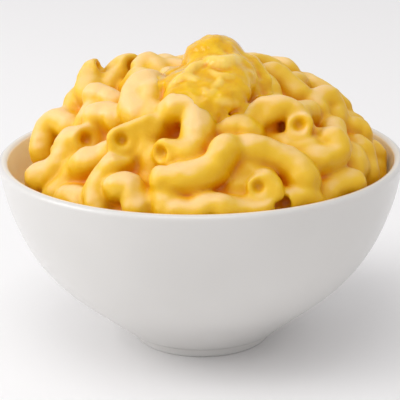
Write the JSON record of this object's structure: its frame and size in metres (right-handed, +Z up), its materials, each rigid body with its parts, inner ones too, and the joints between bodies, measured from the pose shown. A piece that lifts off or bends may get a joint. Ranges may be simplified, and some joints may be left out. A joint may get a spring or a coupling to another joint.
{
  "type": "bowl of mac and cheese",
  "caption": "Round footed porcelain bowl heaped with sauced elbow macaroni under a cap of melted cheese; the food is fixed in its bowl.",
  "frame": {"origin": "middle of the foot, on the table", "axes": "+Z up, front as pictured towards -Y, +X to the viewer's right"},
  "size_m": [0.13, 0.13, 0.1002],
  "materials": {
    "bowl_porcelain": "white glazed porcelain, smooth and glossy",
    "sauced_macaroni": "cooked pasta under a satin coat of cheese sauce",
    "melted_cheese": "soft melted cheese, moist and lightly glossy"
  },
  "bodies": {
    "root": {"bowl": "bowl_porcelain", "macaroni": "sauced_macaroni", "melted_cheese": "melted_cheese"}
  },
  "joints": []
}
